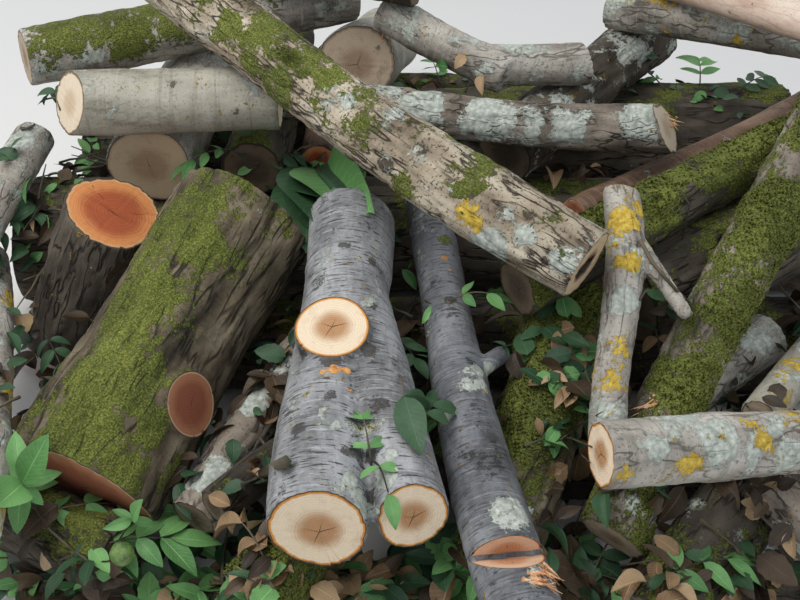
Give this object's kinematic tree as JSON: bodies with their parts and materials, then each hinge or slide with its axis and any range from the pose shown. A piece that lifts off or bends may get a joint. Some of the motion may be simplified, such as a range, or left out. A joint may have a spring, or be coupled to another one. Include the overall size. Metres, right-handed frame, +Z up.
{
  "type": "stack of logs",
  "caption": "Jumbled heap of felled logs, branches and stumps in mixed bark, moss and lichen, thrown crosswise on level ground.",
  "frame": {"origin": "middle of the heap's outline in plan, on the level ground it lies on", "axes": "+X along the heap's long side, to the right seen from its front; +Y from the front towards the back; +Z up"},
  "size_m": [2.3415, 2.1583, 0.7975],
  "materials": {
    "brown_bark": "scaly brown bark",
    "dark_bark": "dark, damp, furrowed bark",
    "grey_bark": "smooth silver-grey bark with crusty rings and lichen",
    "mossy": "rough bark under olive and green moss",
    "orange_wood": "fresh orange heartwood with a yellow rim",
    "pale_bark": "rough cream-grey bark with dark fissures",
    "peeled_wood": "bare peeled wood",
    "tan_wood": "weathered sawn wood and light bark"
  },
  "bodies": {
    "root": {"back_log": "dark_bark", "back_trunk": "dark_bark", "base_limb": "dark_bark", "base_log": "dark_bark", "base_pole": "dark_bark", "base_trunk": "dark_bark", "brown_branch": "brown_bark", "dark_left": "dark_bark", "dark_rough": "dark_bark", "dark_trunk": "dark_bark", "dark_under": "dark_bark", "fork_right": "grey_bark", "gap_limb": "grey_bark", "grey_right": "grey_bark", "grey_stub": "grey_bark", "grey_tan_log": "tan_wood", "hollow_log": "pale_bark", "left_limb": "grey_bark", "left_pole": "grey_bark", "lichen_log": "grey_bark", "lower_right": "dark_bark", "mid_log": "dark_bark", "moss_center": "mossy", "moss_curve": "mossy", "moss_stump": "mossy", "mossy_trunk": "mossy", "orange_scrap": "brown_bark", "orange_stump": "orange_wood", "pale_elbow": "pale_bark", "pale_right": "pale_bark", "peeled_limb": "peeled_wood", "right_edge": "grey_bark", "right_log": "grey_bark", "right_mossy": "mossy", "right_pole": "dark_bark", "rough_brown": "brown_bark", "slender_stem": "grey_bark", "tan_log": "tan_wood", "top_dark": "dark_bark", "twin_stem": "grey_bark", "upper_left": "pale_bark", "yellow_branch": "grey_bark"}
  },
  "joints": []
}
